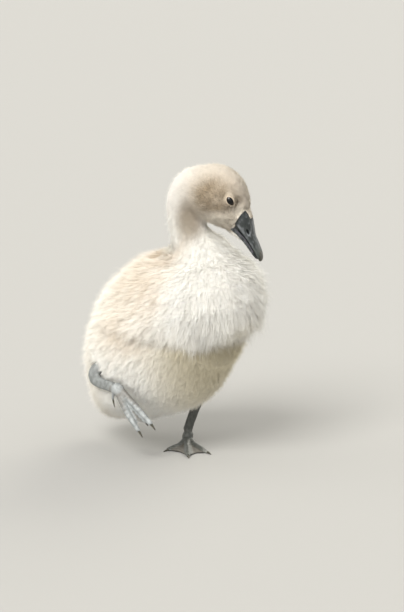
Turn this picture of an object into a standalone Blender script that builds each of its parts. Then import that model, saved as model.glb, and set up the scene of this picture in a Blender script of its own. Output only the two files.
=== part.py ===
"""A downy mute swan cygnet, about ten days old, caught in mid step. Metres, +Z up.

The bird walks towards -Y, so its right side is at -X. It stands on the left foot, which toes in; the
right foot is lifted and hangs beside the flank; the head is turned a little to the left and looks
down. The flesh nodes give the outline out to the tips of the down: they are modelled as one body of
lofted sections and lobes, and then parted with thin cuts. The origin is at the centre of the
bounding box, on the ground.

Places are given as the bird's own side (+ is its left), ahead (+ is the way it walks) and up, in
millimetres, from the ground under the standing foot.
"""

import math

import bmesh
import bpy
from mathutils import Euler, Matrix, Vector

MM = 0.001
GAP = 0.3  # between pieces that touch, in millimetres
LEG_POCKET = 0.9  # room round a leg where it enters the down

HANDS = {"left": 1, "right": -1}  # and which way each lies
MIDLINE = -9.5  # the side of the body's plane of symmetry
HEAD = (-4.5, 29, 180)
HEAD_TURN = 22  # degrees to the bird's left

# Sections of the trunk from the vent to the breast: ahead, up, half width and half depth.
TRUNK_LINE = (
    (-62, 13.5, 3, 3),
    (-60, 20.5, 13, 10),
    (-53, 31.5, 26, 21),
    (-44, 42.5, 35, 33),
    (-33, 56.5, 41.5, 44),
    (-17, 74, 45, 52),
    (2, 93.5, 44, 49),
    (20, 105.5, 41, 43.5),
    (35, 111.5, 36, 34),
    (48, 114.5, 24, 22),
    (56, 116.5, 6, 6),
)
# Sections of the neck from inside the breast to the back of the head: side, ahead, up, half width
# and half depth.
NECK_LINE = (
    (MIDLINE, 17, 89.5, 12, 12),
    (MIDLINE, 21, 105.5, 30, 30),
    (MIDLINE, 24, 117.5, 32, 33),
    (MIDLINE, 25, 128.5, 27, 29),
    (MIDLINE, 20, 140.5, 19.5, 20.5),
    (MIDLINE, 11, 152.5, 14, 14),
    (MIDLINE, 6, 164.5, 12.5, 12.5),
    (MIDLINE, 6, 175.5, 12.5, 12.5),
    (MIDLINE + 1, 13, 184.5, 14, 14),
    (MIDLINE + 3, 22, 186.5, 15, 14.5),
)
STEPS = 5  # rings between two sections

# Lobes: side, ahead, up, half sizes across, along and deep, then nose-up pitch in degrees.
LOBES = (
    (MIDLINE, 35, 113.5, 37, 31, 33, 20),  # breast
    (MIDLINE, -55, 36.5, 17, 25, 13, 38),  # tail
    (MIDLINE - 36.5, -3, 93.5, 11, 31, 14, 22),  # right wing
    (MIDLINE + 36.5, -3, 93.5, 11, 31, 14, 22),  # left wing
    (MIDLINE - 25, -26, 51.5, 16, 26, 22, 40),  # right thigh, drawn back
    (MIDLINE + 25, -11, 53.5, 17, 27, 22, 40),  # left thigh
)
# Lobes of the head, from its centre and along its own turn.
HEAD_LOBES = (
    (0, 1.5, 1.5, 18.5, 22.5, 20.5, -35),  # cranium
    (0, 5, -7.5, 16.5, 16, 12.5, -40),  # cheeks
    (0, 12, -5, 12, 10.5, 14, -60),  # brow
    (0, 12.5, -11.5, 9.5, 9.5, 10, -50),  # lores
    (0, 15.5, -21, 6.5, 12, 5.5, -42),  # chin
)
FLESH_VOXEL = 1.5
FLESH_SMOOTHING = 22
FLESH_TRIANGLES = 2300

# Where the flesh is parted: side outlines as (ahead, up) corners, and ellipsoids like the lobes.
HEAD_CUT = ((22, 162.5), (85, 131.5), (85, 216.5), (7, 216.5))
NECK_CUT = ((-15, 151.5), (65, 119.5), (85, 216.5), (-15, 216.5))
TAIL_CUT = ((-40, 14.5), (-79, 63.5), (-105, 41.5), (-75, -8.5))
WING_CUT = (37, -3, 93.5, 13, 33, 16, 22)  # side is out from the midline
THIGH_CUTS = {
    "thigh_right": (MIDLINE - 29, -27, 51.5, 17, 28, 22, 40),
    "thigh_left": (MIDLINE + 26, -9, 47.5, 17, 27, 22, 40),
}
CUT_HALF_WIDTH = 90

# The eyes, from the head's centre: the ball's centre on either side, and its radius.
EYE_BALL = (10.4, 13.8, 0.4)
EYE_RADIUS = 4.6

# The bill's own frame starts between the gape and the feathers of the forehead and runs down its
# axis. Sections: along, half width, top and bottom, measured from the axis.
BILL_START = (0, 19.2, -16.8)  # from the head's centre
BILL_PITCH = -60
UPPER_BILL = (
    (-8, 7.2, 8.4, -5.0),
    (-2, 7.6, 8.0, -4.8),
    (4, 7.1, 6.2, -3.2),
    (10, 6.3, 4.1, -1.8),
    (16, 5.9, 2.9, -1.0),
    (21, 5.7, 2.2, -0.9),
    (24.5, 4.9, 1.6, -1.2),
    (27, 3.2, 0.7, -1.6),
    (28.2, 1.2, -0.4, -1.6),
)
LOWER_BILL = (
    (-7, 6.4, -5.6, -9.0),
    (-1, 6.7, -5.1, -8.6),
    (4, 5.9, -3.6, -6.6),
    (10, 5.5, -2.2, -5.0),
    (16, 5.1, -1.4, -4.0),
    (21, 4.6, -1.3, -3.4),
    (24.5, 3.5, -1.6, -3.0),
    (26.2, 1.4, -1.9, -2.6),
)
BILL_SIDES = 12
BILL_SQUARENESS = 2.6  # of the sections, where 2 is an oval
NAIL = (26.3, 0.9, 3.2, 4.2, 3.0)  # along, above the axis, half sizes across, along and deep

# The legs from inside the down to the ball of the foot: side, ahead, up, half width and half depth.
# The flat of each leg faces its "across".
LEG_LINES = {
    "left": (
        (12, 8, 43.5, 3.3, 4.4),
        (11.4, 4.7, 39.3, 3.1, 4.5),
        (10.9, 1.3, 35.1, 2.9, 4.6),
        (10.4, -1.7, 28.8, 2.3, 3.5),
        (9.4, -6.5, 16.3, 2.1, 3.2),
        (9, -8.8, 9.8, 2.6, 3.3),
    ),
    "right": (
        (-39.5, -32, 64, 3.5, 4.6),
        (-45, -37, 61.5, 3.3, 4.6),
        (-49, -41.2, 56.5, 3.2, 4.5),
        (-50.1, -40.2, 51.5, 3.0, 4.4),
        (-51.5, -31, 49.7, 2.4, 3.9),
        (-53.1, -20, 49.5, 2.7, 3.8),
    ),
}
LEG_VOXEL = 0.8
LEG_SMOOTHING = 3
LEG_TRIANGLES = 240
LEG_ACROSS = {"left": (0.67, 0.74, 0), "right": (1, 0, 0)}
# The ball of each foot: side, ahead, up and radius.
BALLS = {"left": (8.5, -8.3, 5.6, 3.9), "right": (-53.5, -15.5, 48.8, 4.1)}
# The toes from the ball outwards: side, ahead, up and radius; the last point is the root of the claw.
TOES = {
    "left": {
        "inner": ((7, -8, 4, 2.4), (-1, -6.8, 1.5, 2.0),
                  (-8, -6.2, 1.3, 1.8), (-14, -6, 0.9, 1.3)),
        "middle": ((7, -7, 4, 2.6), (-2, 0.5, 1.5, 2.1),
                   (-10, 8.5, 1.4, 1.9), (-17.5, 16, 1.0, 1.4)),
        "outer": ((8, -7, 4, 2.5), (5, 2, 1.5, 2.0), (2, 10.5, 1.3, 1.8), (-1, 19, 0.9, 1.3)),
        "hind": ((9.5, -9.5, 6.5, 1.9), (12, -12, 4.4, 1.5), (13.4, -13.4, 3.2, 1.2)),
    },
    "right": {
        "inner": ((-51.5, -14.5, 48.5, 2.4), (-49, -9.5, 42, 2.2),
                  (-46.9, -5, 35.5, 2.0), (-45.7, 1, 29, 1.5)),
        "middle": ((-53.5, -14, 49.5, 2.7), (-52.5, -7.5, 44.5, 2.4),
                   (-50.8, -0.5, 38, 2.2), (-48.5, 10, 28, 1.6)),
        "outer": ((-54.8, -15, 48.3, 2.6), (-55.8, -10.5, 42, 2.3),
                  (-55.5, -4.5, 33.5, 2.1), (-54.1, 4, 23.3, 1.5)),
        "hind": ((-54, -20, 46.5, 2.0), (-54.2, -20.2, 43.5, 1.6), (-54.1, -19.6, 41.1, 1.2)),
    },
}
CLAW_LENGTH = 4.6
CLAW_ROOT = 0.62  # its half width, as a share of the toe's
CLAW_TAPER = 0.72  # how much of that is lost by the tip
CLAW_DROOP = {"left": (0, 0, -0.3), "right": (0, 0.2, -0.7)}  # how the claws bend: side, ahead, up
WEB_THICKNESS = 1.3
WEB_SCALLOP = 0.16  # how far its edge is drawn in between two toes, as a share of their length
WEB_SAG = {"left": (0, 0, -0.4), "right": (0.5, -3.0, -2.4)}  # of the folded web, at its middle
FOOT_VOXEL = 0.6
FOOT_SMOOTHING = 3
FOOT_TRIANGLES = 440

DOWN = (0.80, 0.76, 0.68)
HEAD_DOWN = (0.62, 0.56, 0.47)
BILL = (0.075, 0.08, 0.085)
HORN = (0.03, 0.028, 0.022)
EYE = (0.008, 0.006, 0.005)
LEG = (0.17, 0.18, 0.17)


def clear_scene():
    for obj in list(bpy.data.objects):
        bpy.data.objects.remove(obj)


def material(name, colour, roughness):
    made = bpy.data.materials.new(name)
    made.use_nodes = True
    shader = made.node_tree.nodes["Principled BSDF"]
    shader.inputs["Base Color"].default_value = (*colour, 1)
    shader.inputs["Roughness"].default_value = roughness
    shader.inputs["Metallic"].default_value = 0
    made.diffuse_color = (*colour, 1)
    return made


def place(side, ahead, up):
    """The bird's own side, ahead and up as a point in metres."""
    return Vector((side, -ahead, up)) * MM


def head_turn():
    return Matrix.Rotation(math.radians(HEAD_TURN), 3, "Z")


def head_place(side, ahead, up):
    """A place given from the head's centre, along its own turn."""
    return place(*HEAD) + head_turn() @ place(side, ahead, up)


def new_object(name, bm):
    bmesh.ops.recalc_face_normals(bm, faces=bm.faces)
    mesh = bpy.data.meshes.new(name)
    bm.to_mesh(mesh)
    bm.free()
    obj = bpy.data.objects.new(name, mesh)
    bpy.context.scene.collection.objects.link(obj)
    return obj


def ellipsoid(centre, half_sizes, pitch=0.0, turn=0.0, grow=0.0, segments=24):
    """An ellipsoid of these half sizes across, along and deep, nose up by pitch, turned left."""
    bm = bmesh.new()
    bmesh.ops.create_uvsphere(bm, u_segments=segments, v_segments=segments // 2, radius=1)
    tilt = Euler((math.radians(-pitch), 0, math.radians(turn))).to_matrix().to_4x4()
    size = Matrix.Diagonal([(half + grow) * MM for half in half_sizes] + [1])
    bmesh.ops.transform(bm, matrix=Matrix.Translation(centre) @ tilt @ size, verts=bm.verts)
    return new_object("ellipsoid", bm)


def lobe(side, ahead, up, across, along, deep, pitch, grow=0.0):
    return ellipsoid(place(side, ahead, up), (across, along, deep), pitch, 0, grow, 14)


def loft(rings):
    """One closed skin over rings of points, with a fan of triangles over each end."""
    bm = bmesh.new()
    loops = [[bm.verts.new(point) for point in ring] for ring in rings]
    for low, high in zip(loops, loops[1:]):
        for i, corner in enumerate(low):
            bm.faces.new((low[i - 1], corner, high[i], high[i - 1]))
    for ring in (loops[0], loops[-1]):
        middle = bm.verts.new(sum((v.co for v in ring), Vector()) / len(ring))
        for i, corner in enumerate(ring):
            bm.faces.new((ring[i - 1], corner, middle))
    return new_object("loft", bm)


def smooth_line(points, steps=STEPS):
    """Catmull-Rom points through the given ones; each is any tuple of numbers."""
    ends = [points[0], *points, points[-1]]
    line = []
    for span in zip(ends, ends[1:], ends[2:], ends[3:]):
        for step in range(steps):
            t = step / steps
            line.append(tuple(
                0.5 * (2 * b + (c - a) * t + (2 * a - 5 * b + 4 * c - d) * t * t
                       + (3 * b - a - 3 * c + d) * t ** 3)
                for a, b, c, d in zip(*span)))
    return [*line, tuple(points[-1])]


def oval_loft(line, across=(1, 0, 0), grow=0.0, segments=26):
    """A skin along (side, ahead, up, half width, half depth) sections, square to the line."""
    centres = [place(*section[:3]) for section in line]
    last = len(line) - 1
    rings = []
    for i, (centre, section) in enumerate(zip(centres, line)):
        along = (centres[min(i + 1, last)] - centres[max(i - 1, 0)]).normalized()
        wide = Vector(across) - along * along.dot(Vector(across))
        wide = wide.normalized() * (section[3] + grow) * MM
        deep = along.cross(wide.normalized()) * (section[4] + grow) * MM
        rings.append([centre + wide * math.cos(turn) + deep * math.sin(turn)
                      for turn in (2 * math.pi * k / segments for k in range(segments))])
    return loft(rings)


def evaluated(obj):
    """The object's mesh with its modifiers applied."""
    graph = bpy.context.evaluated_depsgraph_get()
    graph.update()
    return bpy.data.meshes.new_from_object(obj.evaluated_get(graph))


def apply_modifiers(obj):
    obj.data = evaluated(obj)
    obj.modifiers.clear()


def merged(pieces, voxel, smoothing, triangles):
    """One skin round all the pieces: voxels, then smoothing, then fewer triangles."""
    bm = bmesh.new()
    for piece in pieces:
        bm.from_mesh(piece.data)
        bpy.data.objects.remove(piece)
    mesh = bpy.data.meshes.new("merged")
    bm.to_mesh(mesh)
    bm.free()
    obj = bpy.data.objects.new("merged", mesh)
    bpy.context.scene.collection.objects.link(obj)
    union = obj.modifiers.new("union", "REMESH")
    union.mode = "VOXEL"
    union.voxel_size = voxel * MM
    blend = obj.modifiers.new("blend", "SMOOTH")
    blend.factor = 0.6
    blend.iterations = smoothing
    apply_modifiers(obj)
    fewer = obj.modifiers.new("fewer", "DECIMATE")
    fewer.ratio = triangles / (2 * len(obj.data.polygons))
    fewer.use_collapse_triangulate = True
    apply_modifiers(obj)
    return obj


def boolean(obj, tool, operation):
    step = obj.modifiers.new(operation, "BOOLEAN")
    step.operation = operation
    step.object = tool
    step.solver = "EXACT"
    apply_modifiers(obj)


def carve(bodies, tool):
    """Cuts the tool's shape out of each body, and removes the tool."""
    for body in bodies:
        boolean(body, tool, "DIFFERENCE")
    bpy.data.objects.remove(tool)


def part_off(body, name, cutter):
    """Cuts off the piece of body inside cutter(grow), and leaves a thin gap round it."""
    piece = bpy.data.objects.new(name, body.data.copy())
    bpy.context.scene.collection.objects.link(piece)
    inside = cutter(0)
    boolean(piece, inside, "INTERSECT")
    bpy.data.objects.remove(inside)
    carve([body], cutter(GAP))
    return piece


def prism(outline, grow=0.0):
    """A side outline of (ahead, up) corners as a wide prism, each edge moved out by grow."""
    corners = [Vector(corner) for corner in outline]
    area = sum(a.cross(b) for a, b in zip(corners, corners[1:] + corners[:1]))
    moved = []
    for i, corner in enumerate(corners):
        before = corner - corners[i - 1]
        after = corners[(i + 1) % len(corners)] - corner
        first, second = (Vector((edge.y, -edge.x)).normalized() * math.copysign(1, area)
                         for edge in (before, after))
        moved.append(corner + (first + second) * grow / (1 + first.dot(second)))
    return loft([[place(side, *corner) for corner in moved]
                 for side in (-CUT_HALF_WIDTH, CUT_HALF_WIDTH)])


def sliced(obj, point, normal):
    """Keeps what lies behind the plane, with a flat face on the cut."""
    bm = bmesh.new()
    bm.from_mesh(obj.data)
    cut = bmesh.ops.bisect_plane(bm, geom=[*bm.verts, *bm.edges, *bm.faces], dist=1e-7,
                                 plane_co=point, plane_no=normal, clear_outer=True)
    edges = [edge for edge in cut["geom_cut"] if isinstance(edge, bmesh.types.BMEdge)]
    bmesh.ops.triangulate(bm, faces=bmesh.ops.holes_fill(bm, edges=edges)["faces"])
    bm.to_mesh(obj.data)
    bm.free()
    return obj


def all_flesh():
    """The whole down-covered body, with room left for the bill, the eyes and the legs."""
    trunk = [(MIDLINE, *section) for section in TRUNK_LINE]
    pieces = [oval_loft(smooth_line(trunk)), oval_loft(smooth_line(NECK_LINE))]
    pieces += [lobe(*shape) for shape in LOBES]
    for side, ahead, up, *sizes, pitch in HEAD_LOBES:
        pieces.append(ellipsoid(head_place(side, ahead, up), sizes, pitch, HEAD_TURN))
    flesh = merged(pieces, FLESH_VOXEL, FLESH_SMOOTHING, FLESH_TRIANGLES)
    carve([flesh], bill_half(UPPER_BILL, GAP))
    carve([flesh], bill_half(LOWER_BILL, GAP))
    for hand, sign in HANDS.items():
        carve([flesh], eye_ball(sign, GAP))
        carve([flesh], leg(hand, LEG_POCKET))
    return flesh


def flesh_parts():
    """The flesh by name, parted from the head to the tail."""
    trunk = all_flesh()
    parts = {"trunk": trunk}

    def part(name, cutter):
        parts[name] = part_off(trunk, name, cutter)

    part("head", lambda grow: prism(HEAD_CUT, grow))
    part("neck", lambda grow: prism(NECK_CUT, grow))
    part("tail", lambda grow: prism(TAIL_CUT, grow))
    for hand, sign in HANDS.items():
        out, *rest = WING_CUT
        part(f"wing_{hand}", lambda grow: lobe(MIDLINE + sign * out, *rest, grow=grow))
    for name, shape in THIGH_CUTS.items():
        part(name, lambda grow: lobe(*shape, grow=grow))
    return parts


def bill_ring(along, half_width, top, bottom, grow):
    """One section of the bill: a squarish oval between its top and its bottom."""
    tilt = Matrix.Rotation(math.radians(-BILL_PITCH), 3, "X")
    ring = []
    for k in range(BILL_SIDES):
        turn = 2 * math.pi * k / BILL_SIDES
        x, z = (math.copysign(abs(v) ** (2 / BILL_SQUARENESS), v)
                for v in (math.cos(turn), math.sin(turn)))
        point = place(x * (half_width + grow), along,
                      (top + bottom) / 2 + z * ((top - bottom) / 2 + grow))
        ring.append(head_place(*BILL_START) + head_turn() @ tilt @ point)
    return ring


def bill_half(line, grow=0.0):
    first, *middle, last = smooth_line(line, 2)
    line = [(first[0] - grow, *first[1:]), *middle, (last[0] + grow, *last[1:])]
    return loft([bill_ring(*section, grow) for section in line])


def bill_parts():
    upper = bill_half(UPPER_BILL)
    along, above, *sizes = NAIL
    tilt = Matrix.Rotation(math.radians(-BILL_PITCH), 3, "X")
    centre = head_place(*BILL_START) + head_turn() @ tilt @ place(0, along, above)
    nail = part_off(upper, "bill_nail",
                    lambda grow: ellipsoid(centre, sizes, BILL_PITCH, HEAD_TURN, grow, 12))
    return {"bill_upper": upper, "bill_lower": bill_half(LOWER_BILL), "bill_nail": nail}


def eye_ball(hand, grow=0.0):
    side, ahead, up = EYE_BALL
    return ellipsoid(head_place(hand * side, ahead, up), [EYE_RADIUS] * 3, 0, 0, grow, 14)


def leg_end(hand):
    """The centre of the leg's lower end, and the way up the leg from there."""
    above, end = (place(*section[:3]) for section in LEG_LINES[hand][-2:])
    return end, (above - end).normalized()


def leg(hand, grow=0.0):
    """One leg, ending in a flat face on the ball of its foot."""
    line = smooth_line(LEG_LINES[hand])
    start, after = (Vector(section[:3]) for section in line[:2])
    line[0] = (*(start + (start - after).normalized() * grow), *line[0][3:])
    whole = merged([oval_loft(line, LEG_ACROSS[hand], grow, 16)],
                   LEG_VOXEL, LEG_SMOOTHING, LEG_TRIANGLES)
    end, up_the_leg = leg_end(hand)
    return sliced(whole, end - up_the_leg * grow * MM, -up_the_leg)


def toe_line(hand, toe, steps=4):
    return smooth_line(TOES[hand][toe], steps)


def web(hand, first, second):
    """A thin sheet between two toes, sagging where it is folded, with its edge drawn in."""
    rows, columns = 10, 8
    lines = [toe_line(hand, toe, rows) for toe in (first, second)]
    sag = place(*WEB_SAG[hand])
    sheet = []
    for i in range(rows + 1):
        for j in range(columns + 1):
            across = j / columns
            reach = (1 - WEB_SCALLOP * math.sin(math.pi * across)) * i / rows
            at = [line[round(reach * (len(line) - 1))] for line in lines]
            point = place(*at[0][:3]).lerp(place(*at[1][:3]), across)
            sheet.append(point + sag * math.sin(math.pi * across) * reach)
    bm = bmesh.new()
    verts = [bm.verts.new(point) for point in sheet]
    wide = columns + 1
    for i in range(rows):
        for j in range(columns):
            bm.faces.new([verts[k] for k in (i * wide + j, i * wide + j + 1,
                                             (i + 1) * wide + j + 1, (i + 1) * wide + j)])
    obj = new_object("web", bm)
    thick = obj.modifiers.new("thickness", "SOLIDIFY")
    thick.thickness = WEB_THICKNESS * MM
    thick.offset = 0
    apply_modifiers(obj)
    return obj


def toe_tube(line):
    return oval_loft([(*point[:3], point[3], point[3]) for point in line], (0, 0, 1), 0, 12)


def foot(hand):
    """The ball, the toes and the web, sliced flat where the leg stands on them and on the ground."""
    *centre, radius = BALLS[hand]
    pieces = [ellipsoid(place(*centre), [radius] * 3, segments=20)]
    for toe in TOES[hand]:
        pieces.append(toe_tube(toe_line(hand, toe)))
        *tip, end = TOES[hand][toe][-1]
        pieces.append(ellipsoid(place(*tip), [end] * 3, segments=12))
    pieces += [web(hand, "inner", "middle"), web(hand, "middle", "outer")]
    made = merged(pieces, FOOT_VOXEL, FOOT_SMOOTHING, FOOT_TRIANGLES)
    end, up_the_leg = leg_end(hand)
    sliced(made, end - up_the_leg * GAP * MM, up_the_leg)
    if hand == "left":
        sliced(made, Vector((0, 0, 0)), Vector((0, 0, -1)))
    return made


def claw(hand, toe, grow=0.0):
    """A small blunt cone from inside the toe's tip, bending as it goes."""
    before, end = TOES[hand][toe][-2:]
    root, radius = Vector(end[:3]), end[3] * CLAW_ROOT + grow
    onward = (root - Vector(before[:3])).normalized()
    line = []
    for t in (0, 0.5, 1):
        point = root + onward * (CLAW_LENGTH + grow) * t + Vector(CLAW_DROOP[hand]) * t * t
        line.append((*point, *[radius * (1 - CLAW_TAPER * t)] * 2))
    return oval_loft(line, LEG_ACROSS["left"], 0, 6)


def finish(obj, name, made_of):
    obj.name = name
    obj.data.name = name
    obj.data.materials.clear()
    obj.data.materials.append(made_of)
    obj.data.shade_smooth()
    obj.data.set_sharp_from_angle(angle=math.radians(50))
    return obj


def build():
    down = material("down", DOWN, 0.9)
    head_down = material("head_down", HEAD_DOWN, 0.9)
    bill_skin = material("bill_skin", BILL, 0.45)
    horn = material("horn", HORN, 0.4)
    glossy = material("eye", EYE, 0.05)
    leg_skin = material("leg_skin", LEG, 0.5)

    flesh = flesh_parts()
    bill = bill_parts()
    made = [finish(obj, name, head_down if name == "head" else down) for name, obj in flesh.items()]
    made += [finish(obj, name, horn if name == "bill_nail" else bill_skin)
             for name, obj in bill.items()]
    for hand, sign in HANDS.items():
        made.append(finish(eye_ball(sign), f"eye_{hand}", glossy))
        made.append(finish(leg(hand), f"leg_{hand}", leg_skin))
        whole_foot = foot(hand)
        for toe in TOES[hand]:
            carve([whole_foot], claw(hand, toe, GAP))
            made.append(finish(claw(hand, toe), f"claw_{hand}_{toe}", horn))
        made.append(finish(whole_foot, f"foot_{hand}", leg_skin))

    corners = [vertex.co for obj in made for vertex in obj.data.vertices]
    origin = bpy.data.objects.new("cygnet", None)
    bpy.context.scene.collection.objects.link(origin)
    for axis in (0, 1):
        values = [corner[axis] for corner in corners]
        origin.location[axis] = -(min(values) + max(values)) / 2
    for obj in made:
        obj.parent = origin


clear_scene()
build()
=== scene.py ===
"""Looks of the downy cygnet: one skin with its coat of down, and the bill, eyes and feet in detail.

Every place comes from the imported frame. Lengths written here are millimetres, and MM turns them
into the frame's metres. The bird faces -Y; its left is +X.
"""

from contextlib import contextmanager
from functools import partial
from itertools import product
from math import cos, pi, radians, sin

import bmesh
import bpy
import numpy as np
from mathutils import Matrix, Vector
from mathutils.bvhtree import BVHTree
from mathutils.kdtree import KDTree


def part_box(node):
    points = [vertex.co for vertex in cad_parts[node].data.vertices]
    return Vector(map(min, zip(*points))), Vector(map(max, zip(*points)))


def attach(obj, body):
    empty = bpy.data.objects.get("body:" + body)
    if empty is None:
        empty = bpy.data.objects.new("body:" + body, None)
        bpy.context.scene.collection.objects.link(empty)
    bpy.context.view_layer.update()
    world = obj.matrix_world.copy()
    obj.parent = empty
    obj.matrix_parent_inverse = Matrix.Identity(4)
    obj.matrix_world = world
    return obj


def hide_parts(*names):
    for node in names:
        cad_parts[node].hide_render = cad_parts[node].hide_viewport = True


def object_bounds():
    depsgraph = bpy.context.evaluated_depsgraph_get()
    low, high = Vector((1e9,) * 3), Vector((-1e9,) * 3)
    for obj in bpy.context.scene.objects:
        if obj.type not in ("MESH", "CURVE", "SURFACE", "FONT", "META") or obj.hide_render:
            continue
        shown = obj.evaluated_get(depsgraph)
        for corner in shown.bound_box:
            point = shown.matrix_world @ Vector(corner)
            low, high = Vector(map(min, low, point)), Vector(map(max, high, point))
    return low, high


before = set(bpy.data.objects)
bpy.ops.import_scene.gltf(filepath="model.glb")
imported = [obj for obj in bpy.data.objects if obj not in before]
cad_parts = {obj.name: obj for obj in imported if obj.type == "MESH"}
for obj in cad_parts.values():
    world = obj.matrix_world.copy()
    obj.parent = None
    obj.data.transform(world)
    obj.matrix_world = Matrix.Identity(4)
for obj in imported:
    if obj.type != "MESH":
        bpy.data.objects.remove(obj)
cad_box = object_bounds()

MM = 0.001
FLESH = ("trunk", "neck", "head", "tail", "wing_left", "wing_right", "thigh_left", "thigh_right")
HANDS = {"left": 1, "right": -1}
TOES = ("inner", "middle", "outer", "hind")
BILL = ("bill_upper", "bill_lower")
UP = np.array((0, 0, 1.0))
MATERIALS = {}  # by name; most are named after the slot of the pieces that they cover


# -------- small helpers

def rgb(*shares):
    return np.array(shares)


def centre(node):
    low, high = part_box(node)
    return np.array((low + high) / 2)


def lengths(v):
    return np.linalg.norm(v, axis=-1)


def unit(v):
    v = np.asarray(v, float)
    return v / np.maximum(lengths(v)[..., None], 1e-12)


def ramp(low, high, x):
    """0 up to low, 1 from high on, and smooth between them."""
    t = np.clip((np.asarray(x, float) - low) / (high - low), 0, 1)
    return t * t * (3 - 2 * t)


def hump(x, middle, width):
    """A smooth hump, 1 at the middle and near 0 two widths away."""
    return np.exp(-((x - middle) / width) ** 2)


def by_station(stations, values):
    """A value that runs smoothly through the given ones, one for each station of the midline."""
    return np.interp(stations, np.arange(len(values)), values)


def mix(base, other, share):
    """Base values turned by a share, one for each point, into others."""
    return base + (other - base) * np.asarray(share)[..., None]


def painted(base, *layers):
    """The base colour with each layer's own colour mixed in by its share."""
    for colour, share in layers:
        base = mix(base, colour, share)
    return base


def rows_of(items, name, width, kind=np.float32):
    """This property of all the items as the rows of an array."""
    values = np.empty(len(items) * width, kind)
    items.foreach_get(name, values)
    return values.reshape(-1, width)


def mesh_arrays(mesh):
    """The mesh's points and triangles as arrays."""
    mesh.calc_loop_triangles()
    points = rows_of(mesh.vertices, "co", 3).astype(float)
    return points, rows_of(mesh.loop_triangles, "vertices", 3, np.int32)


def set_points(mesh, points):
    mesh.vertices.foreach_set("co", np.asarray(points, np.float32).ravel())
    mesh.update()


def point_normals(mesh):
    return rows_of(mesh.vertex_normals, "vector", 3).astype(float)


def along_surface(ways, normals):
    """The same directions laid flat on a surface with these normals."""
    return unit(ways - normals * (ways * normals).sum(1, keepdims=True))


@contextmanager
def edited(mesh):
    """The mesh opened for the tools of bmesh, and written back after them."""
    bm = bmesh.new()
    bm.from_mesh(mesh)
    yield bm
    bm.to_mesh(mesh)
    bm.free()


def new_mesh(points, faces):
    mesh = bpy.data.meshes.new("work")
    mesh.from_pydata(points, [], faces)
    mesh.shade_smooth()
    return mesh


def placed(name, data):
    data.name = name
    obj = bpy.data.objects.new(name, data)
    bpy.context.scene.collection.objects.link(obj)
    return obj


def new_piece(name, mesh, colours, slot, replaced=(), made_of=None):
    """A piece of the bird that stands for these CAD nodes; its material is named after its slot."""
    set_colours(mesh, colours)
    mesh.materials.clear()
    mesh.materials.append(MATERIALS[made_of or slot])
    obj = placed(name, mesh)
    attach(obj, "root")
    if replaced:
        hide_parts(*replaced)
    return obj


def remeshed(points, faces, voxel, smoothing):
    """A fresh even skin round all the given closed shapes, in quads."""
    obj = placed("work", new_mesh(points, faces))
    union = obj.modifiers.new("union", "REMESH")
    union.mode = "VOXEL"
    union.voxel_size = voxel * MM
    blend = obj.modifiers.new("blend", "SMOOTH")
    blend.factor = 0.5
    blend.iterations = smoothing
    graph = bpy.context.evaluated_depsgraph_get()
    graph.update()
    mesh = bpy.data.meshes.new_from_object(obj.evaluated_get(graph))
    bpy.data.objects.remove(obj)
    mesh.shade_smooth()
    return mesh


def nodes_joined(nodes, swell=0.0):
    """The CAD nodes as one set of points and triangles, each swollen a little to close the gaps."""
    points, faces, count = [], [], 0
    for node in nodes:
        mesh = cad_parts[node].data.copy()
        with edited(mesh) as bm:
            bmesh.ops.remove_doubles(bm, verts=bm.verts, dist=1e-6)
        node_points, node_faces = mesh_arrays(mesh)
        points.append(node_points + point_normals(mesh) * swell * MM)
        faces.append(node_faces + count)
        count += len(node_points)
        bpy.data.meshes.remove(mesh)
    return np.concatenate(points), np.concatenate(faces)


def fine_skin(nodes, swell, voxel, smoothing):
    """These CAD nodes under one fine skin: its mesh, its points and its triangles."""
    mesh = remeshed(*nodes_joined(nodes, swell), voxel, smoothing)
    return mesh, *mesh_arrays(mesh)


def search_tree(points, faces):
    return BVHTree.FromPolygons(points.tolist(), faces.tolist())


def tree_of(*nodes):
    return search_tree(*nodes_joined(nodes))


def distances(points, *nodes):
    """How far each point is from the surface of these CAD nodes, in millimetres."""
    tree = tree_of(*nodes)
    return np.array([tree.find_nearest(p)[3] for p in points.tolist()]) / MM


def neighbour_mean(faces, values, rounds):
    """Each point's value averaged with its neighbours', a few times over."""
    edges = np.concatenate([faces[:, [0, 1]], faces[:, [1, 2]], faces[:, [2, 0]]])
    edges = np.concatenate([edges, edges[:, ::-1]])
    count = np.bincount(edges[:, 0], minlength=len(values))
    for _ in range(rounds):
        total = np.stack([np.bincount(edges[:, 0], weights=column[edges[:, 1]], minlength=len(values))
                          for column in values.T], 1)
        values = (values + total) / (1 + count)[:, None]
    return values


def set_colours(mesh, colours):
    """One colour, or one for each point, as the tint that the material reads."""
    layer = mesh.attributes.new("tint", "FLOAT_COLOR", "POINT")
    rgba = np.ones((len(mesh.vertices), 4), np.float32)
    rgba[:, :3] = np.clip(colours, 0, 0.97)
    layer.data.foreach_set("color", rgba.ravel())


def blotches(points, size, seed):
    """Smooth noise from 0 to 1 with spots about this many millimetres apart: a sum of waves."""
    rng = np.random.default_rng(seed)
    ways = unit(rng.normal(size=(14, 3))) * rng.uniform(0.6, 1.5, (14, 1)) * 2 * pi / (size * MM)
    waves = np.sin(points @ ways.T + rng.uniform(0, 2 * pi, 14))
    return np.clip(0.5 + waves.sum(1) / 9, 0, 1)


# -------- the bird's landmarks

EYES = {hand: centre(f"eye_{hand}") for hand in HANDS}
EYE_RADIUS = float((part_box("eye_left")[1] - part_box("eye_left")[0]).z / 2) / MM
HEAD_LEFT = unit(EYES["left"] - EYES["right"])
HEAD_AHEAD = unit(np.cross(HEAD_LEFT, UP))

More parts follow.
